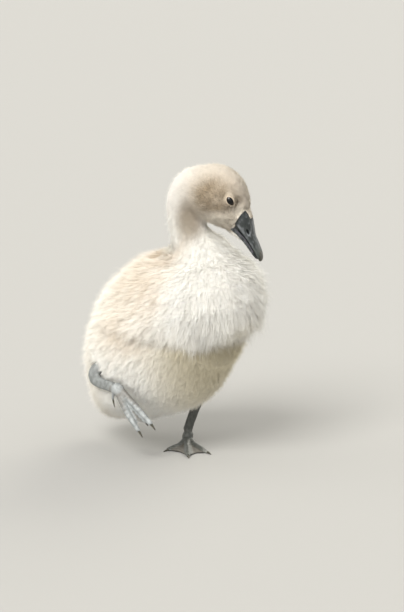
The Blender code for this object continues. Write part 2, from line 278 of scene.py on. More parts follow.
BILL_PITCH = radians(60)
BILL_ALONG = cos(BILL_PITCH) * HEAD_AHEAD - sin(BILL_PITCH) * UP
BILL_ABOVE = sin(BILL_PITCH) * HEAD_AHEAD + cos(BILL_PITCH) * UP
BILL_ROOT = (EYES["left"] + EYES["right"]) / 2 + (5.4 * HEAD_AHEAD - 17.2 * UP) * MM

HEAD_CENTRE = centre("head")
TRUNK = centre("trunk")
NECK_LOW, NECK_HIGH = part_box("neck")
TAIL_LOW, TAIL_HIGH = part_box("tail")
HEAD_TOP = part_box("head")[1].z
NECK_TOP = np.array(((NECK_LOW.x + NECK_HIGH.x) / 2, NECK_HIGH.y - 13 * MM, HEAD_TOP - 22 * MM))
NECK_MIDDLE = np.array((TRUNK[0], NECK_TOP[1] + 1 * MM, NECK_LOW.z + 30 * MM))
NECK_BASE = np.array((TRUNK[0], NECK_LOW.y + 33 * MM, NECK_LOW.z + 12 * MM))
TAIL_END = np.array((TRUNK[0], TAIL_HIGH.y, TAIL_LOW.z + 12 * MM))

# The bird's midline from the root of the bill, over the head and down the neck, to the tail.
SPINE = np.array([BILL_ROOT, HEAD_CENTRE, NECK_TOP, NECK_MIDDLE, NECK_BASE, TRUNK, TAIL_END])
GIRTHS = (7, 20, 15, 18, 24, 46, 24)  # about half the bird's width at each of these
SPINE_PER_SPAN = 12
STATION_SOFTNESS = 0.2  # how gently a point passes from one stretch of the midline to another


def spine_line():
    """The midline as many points, with its tangents and how far along each one is."""
    ends = np.concatenate([SPINE[:1], SPINE, SPINE[-1:]])
    t = (np.arange(SPINE_PER_SPAN) / SPINE_PER_SPAN)[:, None]
    line = []
    for a, b, c, d in zip(ends, ends[1:], ends[2:], ends[3:]):
        line.append(0.5 * (2 * b + (c - a) * t + (2 * a - 5 * b + 4 * c - d) * t * t
                           + (3 * b - a - 3 * c + d) * t ** 3))
    line = np.concatenate([*line, SPINE[-1:]])
    stations = np.repeat(np.arange(len(SPINE) - 1), SPINE_PER_SPAN)
    stations = np.append(stations + np.tile(t[:, 0], len(SPINE) - 1), len(SPINE) - 1)
    return line, unit(np.gradient(line, axis=0)), stations


def along_spine(points):
    """For each point its station, 0 at the bill to 6 at the tail, and the midline's direction there."""
    line, tangents, stations = spine_line()
    girths = by_station(stations, GIRTHS) * MM
    squares = ((points[:, None] - line[None]) ** 2).sum(2) / girths ** 2
    weights = np.exp(-(squares - squares.min(1, keepdims=True)) / STATION_SOFTNESS)
    weights /= weights.sum(1, keepdims=True)
    return weights @ stations, unit(weights @ tangents)


def in_bill_frame(points):
    """Along the bill from the gape, above its axis, and to the bird's left, in millimetres."""
    return (points - BILL_ROOT) @ np.stack([BILL_ALONG, BILL_ABOVE, HEAD_LEFT], 1) / MM


# -------- the eyes' openings

EYE_FORWARD = radians(23)  # how far each eye looks ahead of straight out
SLANT = radians(56)  # the opening's long axis, down towards the bill
OPENING = (3.0, 2.0)  # half its length and half its width
CORNER = 0.22  # how far its front corner is drawn out


class Eye:
    """One eye's own axes: out of the head, along the opening towards the bill, and across it."""

    def __init__(self, hand):
        self.middle = EYES[hand]
        side = HANDS[hand] * HEAD_LEFT
        self.out = cos(EYE_FORWARD) * side + sin(EYE_FORWARD) * HEAD_AHEAD
        ahead = unit(HEAD_AHEAD - self.out * (HEAD_AHEAD @ self.out))
        self.along = cos(SLANT) * ahead - sin(SLANT) * UP
        self.across = sin(SLANT) * ahead + cos(SLANT) * UP

    def edge(self, turn):
        """The opening's half width in this direction, in millimetres from the eye's axis."""
        oval = 1 / np.hypot(np.cos(turn) / OPENING[0], np.sin(turn) / OPENING[1])
        return oval * (1 + CORNER * np.exp(-(np.arctan2(np.sin(turn), np.cos(turn)) / 0.45) ** 2))

    def local(self, points):
        """How far out of the head, how far from the eye's axis and how far outside the opening."""
        at = (points - self.middle) @ np.stack([self.out, self.along, self.across], 1) / MM
        away = np.hypot(at[:, 1], at[:, 2])
        gap = away - self.edge(np.arctan2(at[:, 2], at[:, 1]))
        return at[:, 0], away, np.where(at[:, 0] > 0, gap, 99)

    def dome(self, away):
        """How far out the ball's surface is this far from its axis."""
        return np.sqrt(np.maximum(EYE_RADIUS ** 2 - away ** 2, 0.5))

    def brow(self, away):
        """How far out the face is round the eye: like the ball's surface, but falling off more gently."""
        return EYE_RADIUS - 0.47 * away ** 2 / EYE_RADIUS


SEES = {hand: Eye(hand) for hand in HANDS}


# -------- the skin

SKIN_VOXEL = 1.1
TRIM = 1.0  # how far from the flesh the skin may run
FEATHERED_ROOT = 2.5  # how far along the bill the down may reach
FINE_ROUND = 3.5  # how far round the eyes and the bill the skin is finer

# Values at each station of the midline, from the bill to the tail: the coat's depth over the skin,
# its tufts' lie at the root and at the tip (degrees from the skin), how wide a blade and a tuft are,
# how much a tuft's blades converge, how much its tips gather into locks, and how loosely they lie.
COAT = {
    "depth": (1.0, 1.7, 1.8, 2.0, 3.2, 4.0, 3.8),
    "lie": (40, 50, 40, 33, 36, 40, 40),
    "tip_lie": (36, 48, 34, 22, 21, 27, 28),
    "width": (0.11, 0.11, 0.12, 0.13, 0.15, 0.16, 0.16),
    "spread": (0.35, 0.5, 0.8, 1, 1.25, 1.3, 1.3),
    "converge": (0.1, 0.1, 0.1, 0.1, 0.2, 0.4, 0.4),
    "gather": (0, 0, 0, 0, 0, 0.05, 0.05),
    "loose": (0.5, 0.5, 0.4, 0.2, 0.4, 0.75, 0.8),
}


def bare_of_bill(points):
    """1 where the bill is bare of down, 0 on the face: the edge runs up to a point at the lores."""
    along, above, left = in_bill_frame(points).T
    edge = 0.6 - 6.2 * np.clip((above + 7.5) / 14.5, 0, 1) * ramp(1.8, 4.2, np.abs(left))
    jaw = -7.6 + 3.2 * np.clip(along / 14, 0, 1)
    return ramp(-0.9, 0.9, along - edge) * ramp(-1.0, 0.4, above - jaw) * (np.abs(left) < 14)


def skin_mesh():
    """The flesh nodes as one even skin, trimmed where it runs on inside the bill and the legs."""
    bare = (*BILL, "leg_left", "leg_right", "eye_left", "eye_right")
    mesh, points, _ = fine_skin((*FLESH, *bare), 0.4, SKIN_VOXEL, 3)
    beyond = distances(points, *FLESH) > TRIM
    feathered = in_bill_frame(points)[:, 0] < FEATHERED_ROOT
    feathered &= distances(points, *BILL) < 2
    fine = (distances(points, "eye_left", "eye_right", *BILL) < FINE_ROUND) & ~beyond
    with edited(mesh) as bm:
        bm.verts.ensure_lookup_table()
        finer = [edge for edge in bm.edges if fine[edge.verts[0].index] or fine[edge.verts[1].index]]
        doomed = [bm.verts[i] for i in np.flatnonzero(beyond & ~feathered)]
        bmesh.ops.delete(bm, geom=doomed, context="VERTS")
        finer = [edge for edge in finer if edge.is_valid]
        bmesh.ops.subdivide_edges(bm, edges=finer, cuts=1, use_grid_fill=True)
        bmesh.ops.holes_fill(bm, edges=bm.edges[:], sides=0)
        bmesh.ops.triangulate(bm, faces=[face for face in bm.faces if len(face.verts) > 4])
        bmesh.ops.recalc_face_normals(bm, faces=bm.faces)
    mesh.shade_smooth()
    return mesh


class Skin:
    """The skin's shape, with what the coat needs to know at each of its points."""

    def __init__(self, mesh):
        self.mesh = mesh
        points, self.faces = mesh_arrays(mesh)
        self.stations, tangents = along_spine(points)
        self.stations = neighbour_mean(self.faces, self.stations[:, None], 36)[:, 0]
        tail = ramp(5.2, 5.9, self.stations)
        points = mix(points, neighbour_mean(self.faces, points, 30), tail)
        set_points(mesh, points)
        self.fields(points, unit(neighbour_mean(self.faces, point_normals(mesh), 3)))
        self.points = self.inset(points)
        set_points(mesh, self.points)
        self.normals = unit(neighbour_mean(self.faces, point_normals(mesh), 2))
        self.flow = flow(self.points, self.normals, self.faces, self.stations, tangents)
        self.colour, self.mottle = markings_and_shade(self.points, self.stations)
        corners = self.points[self.faces]
        across = np.cross(corners[:, 1] - corners[:, 0], corners[:, 2] - corners[:, 0])
        areas = lengths(across) / 2 / MM ** 2
        self.weights = areas / np.maximum(self.depth[self.faces].mean(1), 1.2) ** 0.6

    def fields(self, points, normals):
        """The coat's depth, lie and so on at each point: short round the eyes and beside the legs."""
        for name, values in COAT.items():
            setattr(self, name, by_station(self.stations, values))
        x, y, z = ((points - TRUNK) / MM).T
        body = ramp(3.3, 4.0, self.stations)
        back = body * ramp(8, 34, z) * ramp(-12, 12, y)
        belly = body * ramp(0.0, 0.5, -normals[:, 2]) * ramp(2, -16, z)
        above_ledge, below_ledge = ledge(points, body)

        leg = distances(points, "leg_left", "leg_right", "foot_left", "foot_right")
        bill = distances(points, *BILL)
        opening = np.min([eye.local(points)[2] for eye in SEES.values()], 0)
        from_throat = points - NECK_TOP - (17 * HEAD_AHEAD - 18 * UP) * MM
        throat = np.exp(-(lengths(from_throat) / (9 * MM)) ** 2)
        face = (0.35 + 0.65 * ramp(0.3, 6, bill)) * (0.4 + 0.6 * ramp(0.5, 5, opening))

        self.depth = self.depth * face - 0.7 * belly + 2.4 * below_ledge + 0.9 * throat
        reach = self.depth - 2.2 * below_ledge - 1.3 * throat
        reach *= 0.3 + 0.7 * ramp(0.6, 8, leg)
        self.reach = np.maximum(reach, 0.8) * (1 + 0.45 * above_ledge + 0.15 * back)
        self.lie = self.lie + 2 * back + 8 * belly - 6 * above_ledge
        self.tip_lie = self.tip_lie + 7 * back + 10 * belly - 4 * above_ledge
        self.gather = self.gather + 0.25 * above_ledge - 0.1 * belly
        self.bald = np.maximum(bare_of_bill(points) * (bill < 4), 1 - ramp(0.2, 0.4, opening))

    def inset(self, points):
        """The points moved in by the coat's depth, under the bare bill and under the eyes' lids."""
        normals = unit(neighbour_mean(self.faces, point_normals(self.mesh), 6))
        points = points - normals * (self.depth * MM)[:, None]
        points = points + 0.6 * (neighbour_mean(self.faces, points, 1) - points)
        points = beside_bill(points)
        for eye in SEES.values():
            out, away, opening = eye.local(points)
            wanted = eye.brow(away) - 1.0 * (1 - ramp(0.1, 0.7, opening)) - 0.15
            share = 1 - ramp(1.0, 3.6, opening)
            points += (share * (wanted - out) * MM)[:, None] * eye.out
        return points


def beside_bill(points):
    """The points near the bill: just over its root where that is feathered, well inside it where bare."""
    tree = tree_of(*BILL)
    bare = bare_of_bill(points)
    over = 0.35  # how far over the bill's root the feathered skin runs
    for i in np.flatnonzero(bare < 0.999).tolist():
        point = Vector(points[i])
        place, outward, _, away = tree.find_nearest(point, 5 * MM)
        if place is None:
            continue
        height = away / MM * (1 if (point - place).dot(outward) > 0 else -1)
        if height < over:
            points[i] += np.array(outward) * (over - height) * MM * (1 - bare[i])
    along, above, left = in_bill_frame(points).T
    sink = (0.5 * bare * (along < 30) * (np.abs(left) < 14) * MM)[:, None]
    return points - sink * ((above - 1.5)[:, None] * BILL_ABOVE + left[:, None] * HEAD_LEFT)


LEDGE = ((-63, 20), (-55, 9), (-45, 3), (-33, 7), (15, 11))  # behind and above the trunk's centre


def over_ledge(y, z):
    """How far these places are over the breast's and the wings' lower edge."""
    return z - np.interp(y, *np.transpose(LEDGE))


def ledge(points, body):
    """How near each point is to the breast's and the wings' lower edge, above it and below it."""
    x, y, z = ((points - TRUNK) / MM).T
    height = over_ledge(y, z)
    there = body * ramp(45, 20, y)
    return hump(height, 4.0, 5.5) * there, hump(height, -4.5, 5.0) * there * ramp(-64, -48, y)


# -------- the markings, and the shade painted into the down

WHITE = rgb(0.96, 0.94, 0.885)
CREAM = rgb(0.92, 0.87, 0.775)
NAPE = rgb(0.89, 0.855, 0.80)
CROWN = rgb(0.665, 0.605, 0.52)
TAUPE = rgb(0.23, 0.17, 0.10)
PALE_TAUPE = rgb(0.62, 0.52, 0.40)
WARM_BEIGE = rgb(0.70, 0.575, 0.43)
# painted shade and reflected light with an olive cast, for the belly and right under the breast's ledge
BELLY_SHADE_OLIVE = rgb(0.62, 0.52, 0.27)
LEDGE_SHADOW_OLIVE = rgb(0.42, 0.34, 0.15)


def patch(points, hand, start, left, ahead, up, sizes):
    """1 inside an ellipsoid of these half sizes, set off from start towards this side, 0 well outside."""
    middle = start + (HANDS[hand] * left * HEAD_LEFT + ahead * HEAD_AHEAD + up * UP) * MM
    local = (points - middle) @ np.stack([HEAD_LEFT, HEAD_AHEAD, UP], 1) / (np.array(sizes) * MM)
    return 1 - ramp(0.4, 1.6, lengths(local))


def markings_and_shade(points, stations):
    """The down's colour, white on the breast, cream behind and taupe round the eyes, with painted shade on
    the belly, under the breast's ledge and on the neck under the jaw, and its mottle.
    """
    x, y, z = ((points - TRUNK) / MM).T
    spots = blotches(points, 9, 5)
    body = ramp(3.2, 4.0, stations)
    behind = np.maximum(ramp(-18, 12, z), ramp(28, 50, y))
    back = ramp(3.0, 3.6, stations) * ramp(10, 38, z)
    back = back * ramp(-32, -12, y) * (1 - ramp(10, 48, y))
    side = body * hump(z, 6, 16) * hump(y, 8, 24)
    # where painted shade goes: the belly below the breast's ledge, towards the front
    under = over_ledge(y, z)
    belly = body * (0.75 * ramp(2, -22, under) + 0.25 * hump(under, -6, 7)) * ramp(2, -38, y)
    colour = painted(
        CROWN,
        (NAPE, ramp(1.2, 2.0, stations)),
        (WHITE, ramp(2.0, 2.9, stations)),
        (CREAM, 0.8 * body * ramp(-30, 20, y) * behind),
        (WARM_BEIGE, back * (0.32 + 0.3 * spots)),
        (WARM_BEIGE, side * (0.26 + 0.34 * spots)),
        # painted shade on the belly, and a darker painted shadow just under the ledge
        (BELLY_SHADE_OLIVE, 0.8 * belly),
        (LEDGE_SHADOW_OLIVE, 0.5 * body * hump(under, -7, 7) * ramp(-12, -36, y)))
    mottle = np.zeros(len(points))
    for hand, eye in EYES.items():
        spot = partial(patch, points, hand)
        cheek = np.maximum.reduce([0.95 * spot(eye, 2, -11.5, 1.0, (10, 12, 12)),
                                   0.6 * spot(eye, 1, -3, -1, (6, 8, 8)),
                                   0.6 * spot(eye, 1, 6.5, -0.5, (6, 4, 3.5))])
        colour = painted(
            colour,
            (PALE_TAUPE, 0.45 * spot(eye, 2, -7, 1, (10, 15, 14))),
            (TAUPE, cheek * (0.8 + 0.4 * (spots - 0.5))),
            (CREAM * 0.92, 0.6 * spot(eye, 0, 6.5, -8, (7, 5, 4.5))),
            (CREAM, 0.6 * spot(eye, 1, -7, -14, (9, 12, 5.5))),
            # mostly painted shade on the neck under the jaw, with some of the neck's own taupe
            (TAUPE * 1.25, 0.72 * spot(NECK_TOP, 10.5, 6.5, -15.5, (11, 8.5, 12))))
        mottle = np.maximum(mottle, cheek)
    return colour, mottle


# -------- the coat

def flow(points, normals, faces, stations, tangents):
    """The way the down lies at each point of the skin: a unit vector along the surface."""
    from_bill = unit(points - BILL_ROOT - 18 * MM * BILL_ALONG)
    head = 1 - ramp(0.9, 1.7, stations)
    course = mix(tangents, from_bill, head) - 0.45 * UP * ramp(3.0, 4.2, stations)[:, None]
    fan_from = NECK_BASE + np.array((0, 4, 22)) * MM
    fan = ramp(3.0, 3.6, stations) * (1 - ramp(-30, 10, (points[:, 1] - TRUNK[1]) / MM))
    course = mix(course, unit(points - fan_from), 0.8 * fan)
    for _ in range(3):
        course = neighbour_mean(faces, along_surface(course, normals), 8)
    return along_surface(course, normals)


COATS = ("head_left", "head_right", "neck_left", "neck_right", "breast_left", "breast_right", "back",
         "flank_left", "flank_right", "belly_left", "belly_right", "tail")
TRIANGLES_PER_COAT = 196000
DENSITY = 0.00031  # of these triangles, for each square millimetre of skin under a middling coat
HEAD_DENSITY = 1.5  # as a share of the rest's
BLADE_TRIANGLES = 2
TUFT_BLADES = 8
LOCK_TUFTS = 14  # how many tufts gather towards each lock
WISPS = 0.16  # the share of loose tufts that draw together to a point and stand out
WISP_LENGTH = 1.3
WISP_LIFT = (0.25, 0.45)  # more lie at the root and at the tip, in radians
STRAYS = 0.08  # the share of the other blades that stand out on their own
STRAY_LENGTH = 1.3
STRAY_LIFT = 0.35  # of the tuft's length
ROOM_NEEDED = 0.25  # the share of its reach that a tuft needs free, to be there at all
SOFTNESS = 0.86  # how much the down is shaded as the skin under it faces
BLADE_ROOT_SHADE = np.array((0.93, 0.98, 0.98, 1.03))  # from the root to the tip: painted shade, darkest at the roots deep in the coat
BAKE_PATCH = 0.003  # a blade's place on the unwrap, as a share of its width


def coat_of(skin):
    """Which coat piece each of the skin's triangles belongs to."""
    station = skin.stations[skin.faces].mean(1)
    x, y, z = ((skin.points[skin.faces].mean(1) - TRUNK) / MM).T
    rise = unit(skin.normals[skin.faces].mean(1))[:, 2]
    hand = np.where(x > 0, "_left", "_right")
    body = station >= 3.5
    regions = {
        "head": (hand, station < 1.75),
        "neck": (hand, (station >= 1.75) & (station < 3.5)),
        "flank": (hand, body & (y > -16)),
        "back": ("", body & (z > 0) & (rise > 0.45) & (y > -25)),
        "belly": (hand, body & (rise < -0.15) & (z < -12)),
        "tail": ("", body & (y > 42)),
        "none": ("", (skin.bald[skin.faces] > 0.5).any(1)),
    }
    named = np.char.add("breast", hand)
    for region, (side, there) in regions.items():
        named = np.where(there, np.char.add(region, side), named)
    return named


def nearest_of(places, among):
    """For each place the index of the nearest of some others."""
    tree = KDTree(len(among))
    for i, place in enumerate(among.tolist()):
        tree.insert(place, i)
    tree.balance()
    return np.array([tree.find(place)[1] for place in places.tolist()])


class Tufts:
    """A coat piece's tufts: where they stand on the skin, how they lie and how far they reach."""

    def __init__(self, skin, chosen, share, rng, blocked):
        faces = np.flatnonzero(chosen)
        weights = skin.weights[faces]
        count = int(TRIANGLES_PER_COAT / BLADE_TRIANGLES / TUFT_BLADES * share)
        self.skin, self.count = skin, count
        self.picked = faces[rng.choice(len(faces), count, p=weights / weights.sum())]
        a, b = rng.random((2, count))
        flip = a + b > 1
        a, b = np.where(flip, 1 - a, a), np.where(flip, 1 - b, b)
        self.shares = np.stack([1 - a - b, a, b], 1)

        self.root, self.normal = self.at(skin.points), unit(self.at(skin.normals))
        self.lock = nearest_of(self.root, self.root[:max(count // LOCK_TUFTS, 1)])
        self.turn(rng)
        self.stretch(rng)
        free = room(blocked, self.root, self.first + self.second)
        self.kept = np.flatnonzero(free > ROOM_NEEDED)
        self.first, self.second = self.first * free[:, None], self.second * free[:, None]

    def at(self, values):
        """The skin's values at the tufts' roots."""
        corners = values[self.skin.faces[self.picked]]
        return (corners * self.shares.reshape(self.shares.shape + (1,) * (corners.ndim - 2))).sum(1)

    def turn(self, rng):
        """The way each tuft lies on the skin: as the coat flows, give or take its lock's turn and its own."""
        course = along_surface(self.at(self.skin.flow), self.normal)
        yaw = rng.normal(0, 0.16, self.count)[self.lock] * self.at(self.skin.loose)
        yaw = (yaw + rng.normal(0, 0.14, self.count))[:, None]
        self.course = course * np.cos(yaw) + np.cross(self.normal, course) * np.sin(yaw)
        self.side = np.cross(self.normal, self.course)

    def stretch(self, rng):
        """Each tuft's lower and upper half as vectors, with its tip drawn towards its lock's."""
        skin, count = self.skin, self.count
        loose = self.at(skin.loose)
        lie = self.at(skin.lie) + rng.normal(0, 3, count)[self.lock] * loose + rng.normal(0, 3, count)
        lie = np.radians(lie)[:, None]
        tip_lie = np.radians(self.at(skin.tip_lie) + rng.normal(0, 6, count))[:, None]
        rise = 0.5 * (np.sin(lie) + np.sin(tip_lie))
        length = (self.at(skin.reach) * rng.uniform(0.85, 1.1, count))[:, None] / rise * MM
        self.wisp = rng.random((count, 1)) < WISPS * loose[:, None]
        length = np.where(self.wisp, WISP_LENGTH * length, length)
        lie = lie + np.where(self.wisp, WISP_LIFT[0], 0)
        tip_lie = tip_lie + np.where(self.wisp, WISP_LIFT[1], 0)
        first, second = ((self.course * np.cos(angle) + self.normal * np.sin(angle)) * length / 2
                         for angle in (lie, tip_lie))
        tip = self.root + first + second
        pull = (tip[self.lock] - tip) * self.at(skin.gather)[:, None]
        pull *= np.minimum(1, 0.5 * length / np.maximum(lengths(pull), 1e-9)[:, None])
        self.first, self.second = first + 0.3 * pull, second + 0.7 * pull


def make_coat(skin, chosen, share, seed, blocked):
    """A mesh of many fine blades, in tufts and locks along the coat's lie, and its points' colours."""
    rng = np.random.default_rng(seed)
    tufts = Tufts(skin, chosen, share, rng, blocked)
    rows = np.repeat(tufts.kept, TUFT_BLADES)
    count = len(rows)
    first, second, normal, side = tufts.first[rows], tufts.second[rows], tufts.normal[rows], tufts.side[rows]
    long = lengths(first + second)[:, None]

    angle = rng.uniform(0, 2 * pi, count)
    spread = np.sqrt(rng.random(count)) * tufts.at(skin.spread)[rows] * MM
    shift = (tufts.course[rows] * np.cos(angle)[:, None] + side * np.sin(angle)[:, None]) * spread[:, None]
    own = rng.uniform(0.7, 1.1, count)[:, None]
    stray = (rng.random(count)[:, None] < STRAYS) & ~tufts.wisp[rows]
    own = np.where(stray, own * STRAY_LENGTH, own)
    converge = np.where(tufts.wisp, 0.85, tufts.at(skin.converge)[:, None])[rows]
    wobble = rng.normal(0, 0.07, (count, 3)) * long
    base = tufts.root[rows] + shift - normal * 0.2 * MM * np.minimum(tufts.at(skin.reach), 2)[rows, None]
    middle = base + first * own - shift * converge * 0.4 + wobble * 0.4
    tip = middle + second * own - shift * converge * 0.6 + wobble
    tip += np.where(stray, STRAY_LIFT * long * normal, 0)
    roll = rng.uniform(-1.1, 1.1, count)[:, None]
    wide = unit(side * np.cos(roll) + normal * np.sin(roll))
    half = (tufts.at(skin.width)[rows] / 2 * MM * rng.uniform(0.7, 1.3, count))[:, None]

    points = np.stack([base, middle - wide * half, middle + wide * half, tip], 1).reshape(-1, 3)
    start = np.arange(count)[:, None, None] * 4
    mesh = new_mesh(points, (start + np.array([(0, 1, 2), (1, 3, 2)])).reshape(-1, 3))
    facing = unit(np.cross(tip - base, wide))
    soft = unit(SOFTNESS * normal + (1 - SOFTNESS) * facing + 0.1 * unit(tip - base))
    mesh.normals_split_custom_set_from_vertices(np.repeat(soft, 4, axis=0).tolist())

    shade = rng.normal(1.0, 0.03, count)
    shade *= (rng.normal(1.0, 0.02, tufts.count) * rng.normal(1.0, 0.02, tufts.count)[tufts.lock])[rows]
    shade *= 1 + tufts.at(skin.mottle)[rows] * rng.normal(0, 0.26, tufts.count)[rows]
    # each blade darker at its root: painted shade deep in the coat
    colour = tufts.at(skin.colour)[rows][:, None] * (shade[:, None] * BLADE_ROOT_SHADE)[:, :, None]
    set_bake_map(mesh, tufts.at(skin.bake)[rows])
    return mesh, colour.reshape(-1, 3)


def set_bake_map(mesh, roots):
    """The OFBake map: each blade is a small patch at its root's place on the skin's unwrap."""
    layer = mesh.uv_layers.new(name="OFBake")
    corner = np.array([(0.5, 0), (0, 0.5), (1, 0.5), (0.5, 1)]) * BAKE_PATCH - BAKE_PATCH / 2
    uv = (roots[:, None] + corner)[:, [0, 1, 2, 1, 3, 2]]
    layer.data.foreach_set("uv", np.clip(uv, 0, 1).astype(np.float32).ravel())


def room(blocked, root, reach):
    """How much of each tuft's reach is free of the bill, the eyes, the legs and the feet, 0 to 1."""
    free = np.ones(len(root))
    low, high = blocked["box"]
    near = np.flatnonzero(((root > low) & (root < high)).all(1))
    for i in near.tolist():
        length = float(lengths(reach[i]))
        hit = blocked["tree"].ray_cast(root[i].tolist(), reach[i].tolist(), length * 1.15)
        if hit[3] is not None:
            inside = Vector(hit[1]).dot(Vector(reach[i])) > 0
            free[i] = 0 if inside else max(0.0, hit[3] / length - 0.1)
    return free


def unwrap(obj):
    """The skin's own OFBake map, and each of its points' place there."""
    bpy.context.view_layer.objects.active = obj
    obj.select_set(True)
    bpy.ops.object.mode_set(mode="EDIT")
    bpy.ops.mesh.select_all(action="SELECT")
    bpy.ops.uv.smart_project(angle_limit=radians(66), island_margin=0.01)
    bpy.ops.object.mode_set(mode="OBJECT")
    obj.select_set(False)
    mesh = obj.data
    layer = mesh.uv_layers.active
    layer.name = "OFBake"
    at_points = np.zeros((len(mesh.vertices), 2))
    at_points[rows_of(mesh.loops, "vertex_index", 1, np.int32)[:, 0]] = rows_of(layer.data, "uv", 2)
    return at_points


# -------- materials

def principled(name, **sockets):
    made = MATERIALS[name] = bpy.data.materials.new(name)
    made.use_nodes = True
    for socket, value in sockets.items():
        made.node_tree.nodes["Principled BSDF"].inputs[socket.replace("_", " ")].default_value = value
    return made


def add_node(made, kind, output, inputs=None, **properties):
    """One output of a new node in a material, with the node's sockets set or linked."""
    node = made.node_tree.nodes.new(f"ShaderNode{kind}")
    for name, value in properties.items():
        setattr(node, name, value)
    for socket, value in (inputs or {}).items():
        if isinstance(value, bpy.types.NodeSocket):
            made.node_tree.links.new(value, node.inputs[socket])
        else:
            node.inputs[socket].default_value = value
    return node.outputs[output]


def shade_by(made, socket, source):
    """Links a node's output to the material's shader."""
    made.node_tree.links.new(source, made.node_tree.nodes["Principled BSDF"].inputs[socket])


def tinted(name, scale, low, high, **sockets):
    """A material in the piece's own tint, varied by fine noise between these two shares of it."""
    made = principled(name, **sockets)
    place = add_node(made, "TexCoord", "Object")
    tint = add_node(made, "Attribute", "Color", attribute_name="tint")
    noise = add_node(made, "TexNoise", "Fac", {"Vector": place, "Scale": scale, "Detail": 4})
    spread = {"From Min": 0.3, "From Max": 0.7, "To Min": low, "To Max": high}
    varied = add_node(made, "MapRange", "Result", {"Value": noise, **spread})
    shade_by(made, "Base Color", add_node(made, "Mix", "Result", {"Factor": 1, "A": tint, "B": varied},
                                          data_type="RGBA", blend_type="MULTIPLY"))
    return made


def add_relief(made, scale, depth, strength=1.0, cells=False):
    """Gives the material fine relief, this many millimetres deep: noise, or the gaps between cells."""
    inputs = {"Vector": add_node(made, "TexCoord", "Object"), "Scale": scale}
    if cells:
        height = add_node(made, "TexVoronoi", "Distance", inputs, feature="DISTANCE_TO_EDGE")
    else:
        height = add_node(made, "TexNoise", "Fac", inputs)
    inputs = {"Height": height, "Distance": depth * MM, "Strength": strength}
    shade_by(made, "Normal", add_node(made, "Bump", "Normal", inputs))


def down_skin():
    tinted("down_skin", 900, 0.85, 1.1, Roughness=0.95)


def down():
    sheen = {"Sheen_Weight": 0.08, "Sheen_Roughness": 0.5}
    tinted("down", 450, 0.95, 1.04, Roughness=0.9, Specular_IOR_Level=0.1, **sheen)


def bill_skin():
    add_relief(tinted("bill_skin", 700, 0.82, 1.2, Roughness=0.32, Specular_IOR_Level=0.3), 1500, 0.08)


def horn():
    add_relief(tinted("horn", 900, 0.8, 1.2, Roughness=0.32), 1200, 0.05)


def glossy_eye():
    tinted("eye", 900, 0.9, 1.1, Roughness=0.03, Specular_IOR_Level=0.28)


def lid_skin():
    add_relief(tinted("lid_skin", 1500, 0.85, 1.12, Roughness=0.6), 2500, 0.05)


def leg_skin():
    add_relief(tinted("leg_skin", 800, 0.85, 1.15, Roughness=0.48), 1100, 0.12, 0.7, cells=True)


# -------- the bill

SLATE = rgb(0.028, 0.032, 0.031)
PALE_SLATE = rgb(0.155, 0.165, 0.175)
DARK_SLATE = rgb(0.020, 0.023, 0.025)
TIP_GREY = rgb(0.062, 0.072, 0.064)
HORN = rgb(0.040, 0.037, 0.026)
LAMELLA = rgb(0.155, 0.145, 0.17)
LAMELLA_HALF = np.array((0.13, 0.62, 0.24))  # along the bill, up and out
COMB_LINE = ((-1, -5.1), (4, -3.5), (10, -2.0), (16, -1.25), (21, -1.15))  # along and above
NOSTRIL = (7.0, 3.0, 1.75, 0.75)  # along, above, half length and half height


def moved_out(mesh, amount):
    """Moves each point along its normal by this many millimetres."""
    points, _ = mesh_arrays(mesh)
    set_points(mesh, points + point_normals(mesh) * (amount * MM)[:, None])


def nostril_share(along, above, left):
    """0 in the middle of a nostril, 1 at its edge."""
    at_along, at_above, half_length, half_height = NOSTRIL
    slope = at_above - 0.12 * (along - at_along)
    share = np.hypot((along - at_along) / half_length, (above - slope) / half_height)
    return np.where(np.abs(left) > 2, share, 99)


def upper_bill():
    """The upper half, with a groove and a nostril on each side, a ridge and wrinkles at its root."""
    mesh, points, _ = fine_skin(("bill_upper",), 0, 0.28, 8)
    along, above, left = in_bill_frame(points).T
    hole = nostril_share(along, above, left)
    side = ramp(2.0, 3.5, np.abs(left))
    groove = hump(above, 3.3 - 0.10 * (along - 7), 1.1) * ramp(0, 4, along)
    groove *= 1 - ramp(11, 16, along)
    ridge = hump(left, 0, 1.5) * ramp(3, 5, above + 0.25 * along) * (1 - ramp(18, 24, along))
    wrinkles = (blotches(points, 1.6, 3) - 0.5) * (1 - ramp(0, 9, along))
    rim = hump(hole, 1.5, 0.35) * side
    moved_out(mesh, -1.3 * (1 - ramp(0.55, 1.15, hole)) * side - 0.32 * groove * side + 0.22 * ridge
              + 0.10 * wrinkles + 0.10 * rim)
    spots = blotches(points, 3.2, 11)
    # a patchy pale band along the middle of each side: a painted highlight
    edge = 0.5 * side * hump(above, -0.6, 1.3) * ramp(-2, 2, along)
    colour = painted(
        SLATE,
        (PALE_SLATE, 0.45 * ramp(0.5, 0.9, spots)),
        (DARK_SLATE, 0.6 * ramp(1, -4, along) + 0.35 * ramp(0.45, 0.1, spots)),
        (PALE_SLATE, 0.55 * hump(left, 0, 1.6) * ramp(-1, 4, along)),
        # painted highlights: the pale band along each side, and the front of each nostril's rim
        (PALE_SLATE, edge * (0.5 + spots)),
        (PALE_SLATE * 1.3, 0.75 * rim * ramp(6, 8.5, along)),
        (TIP_GREY, 0.8 * ramp(17, 22, along)),
        # near black in each nostril's shallow dent: painted shade of its hollow
        (DARK_SLATE * 0.25, 1 - ramp(0.8, 1.2, hole)))
    new_piece("bill_upper_skin", mesh, colour, "bill_skin", ("bill_upper",))


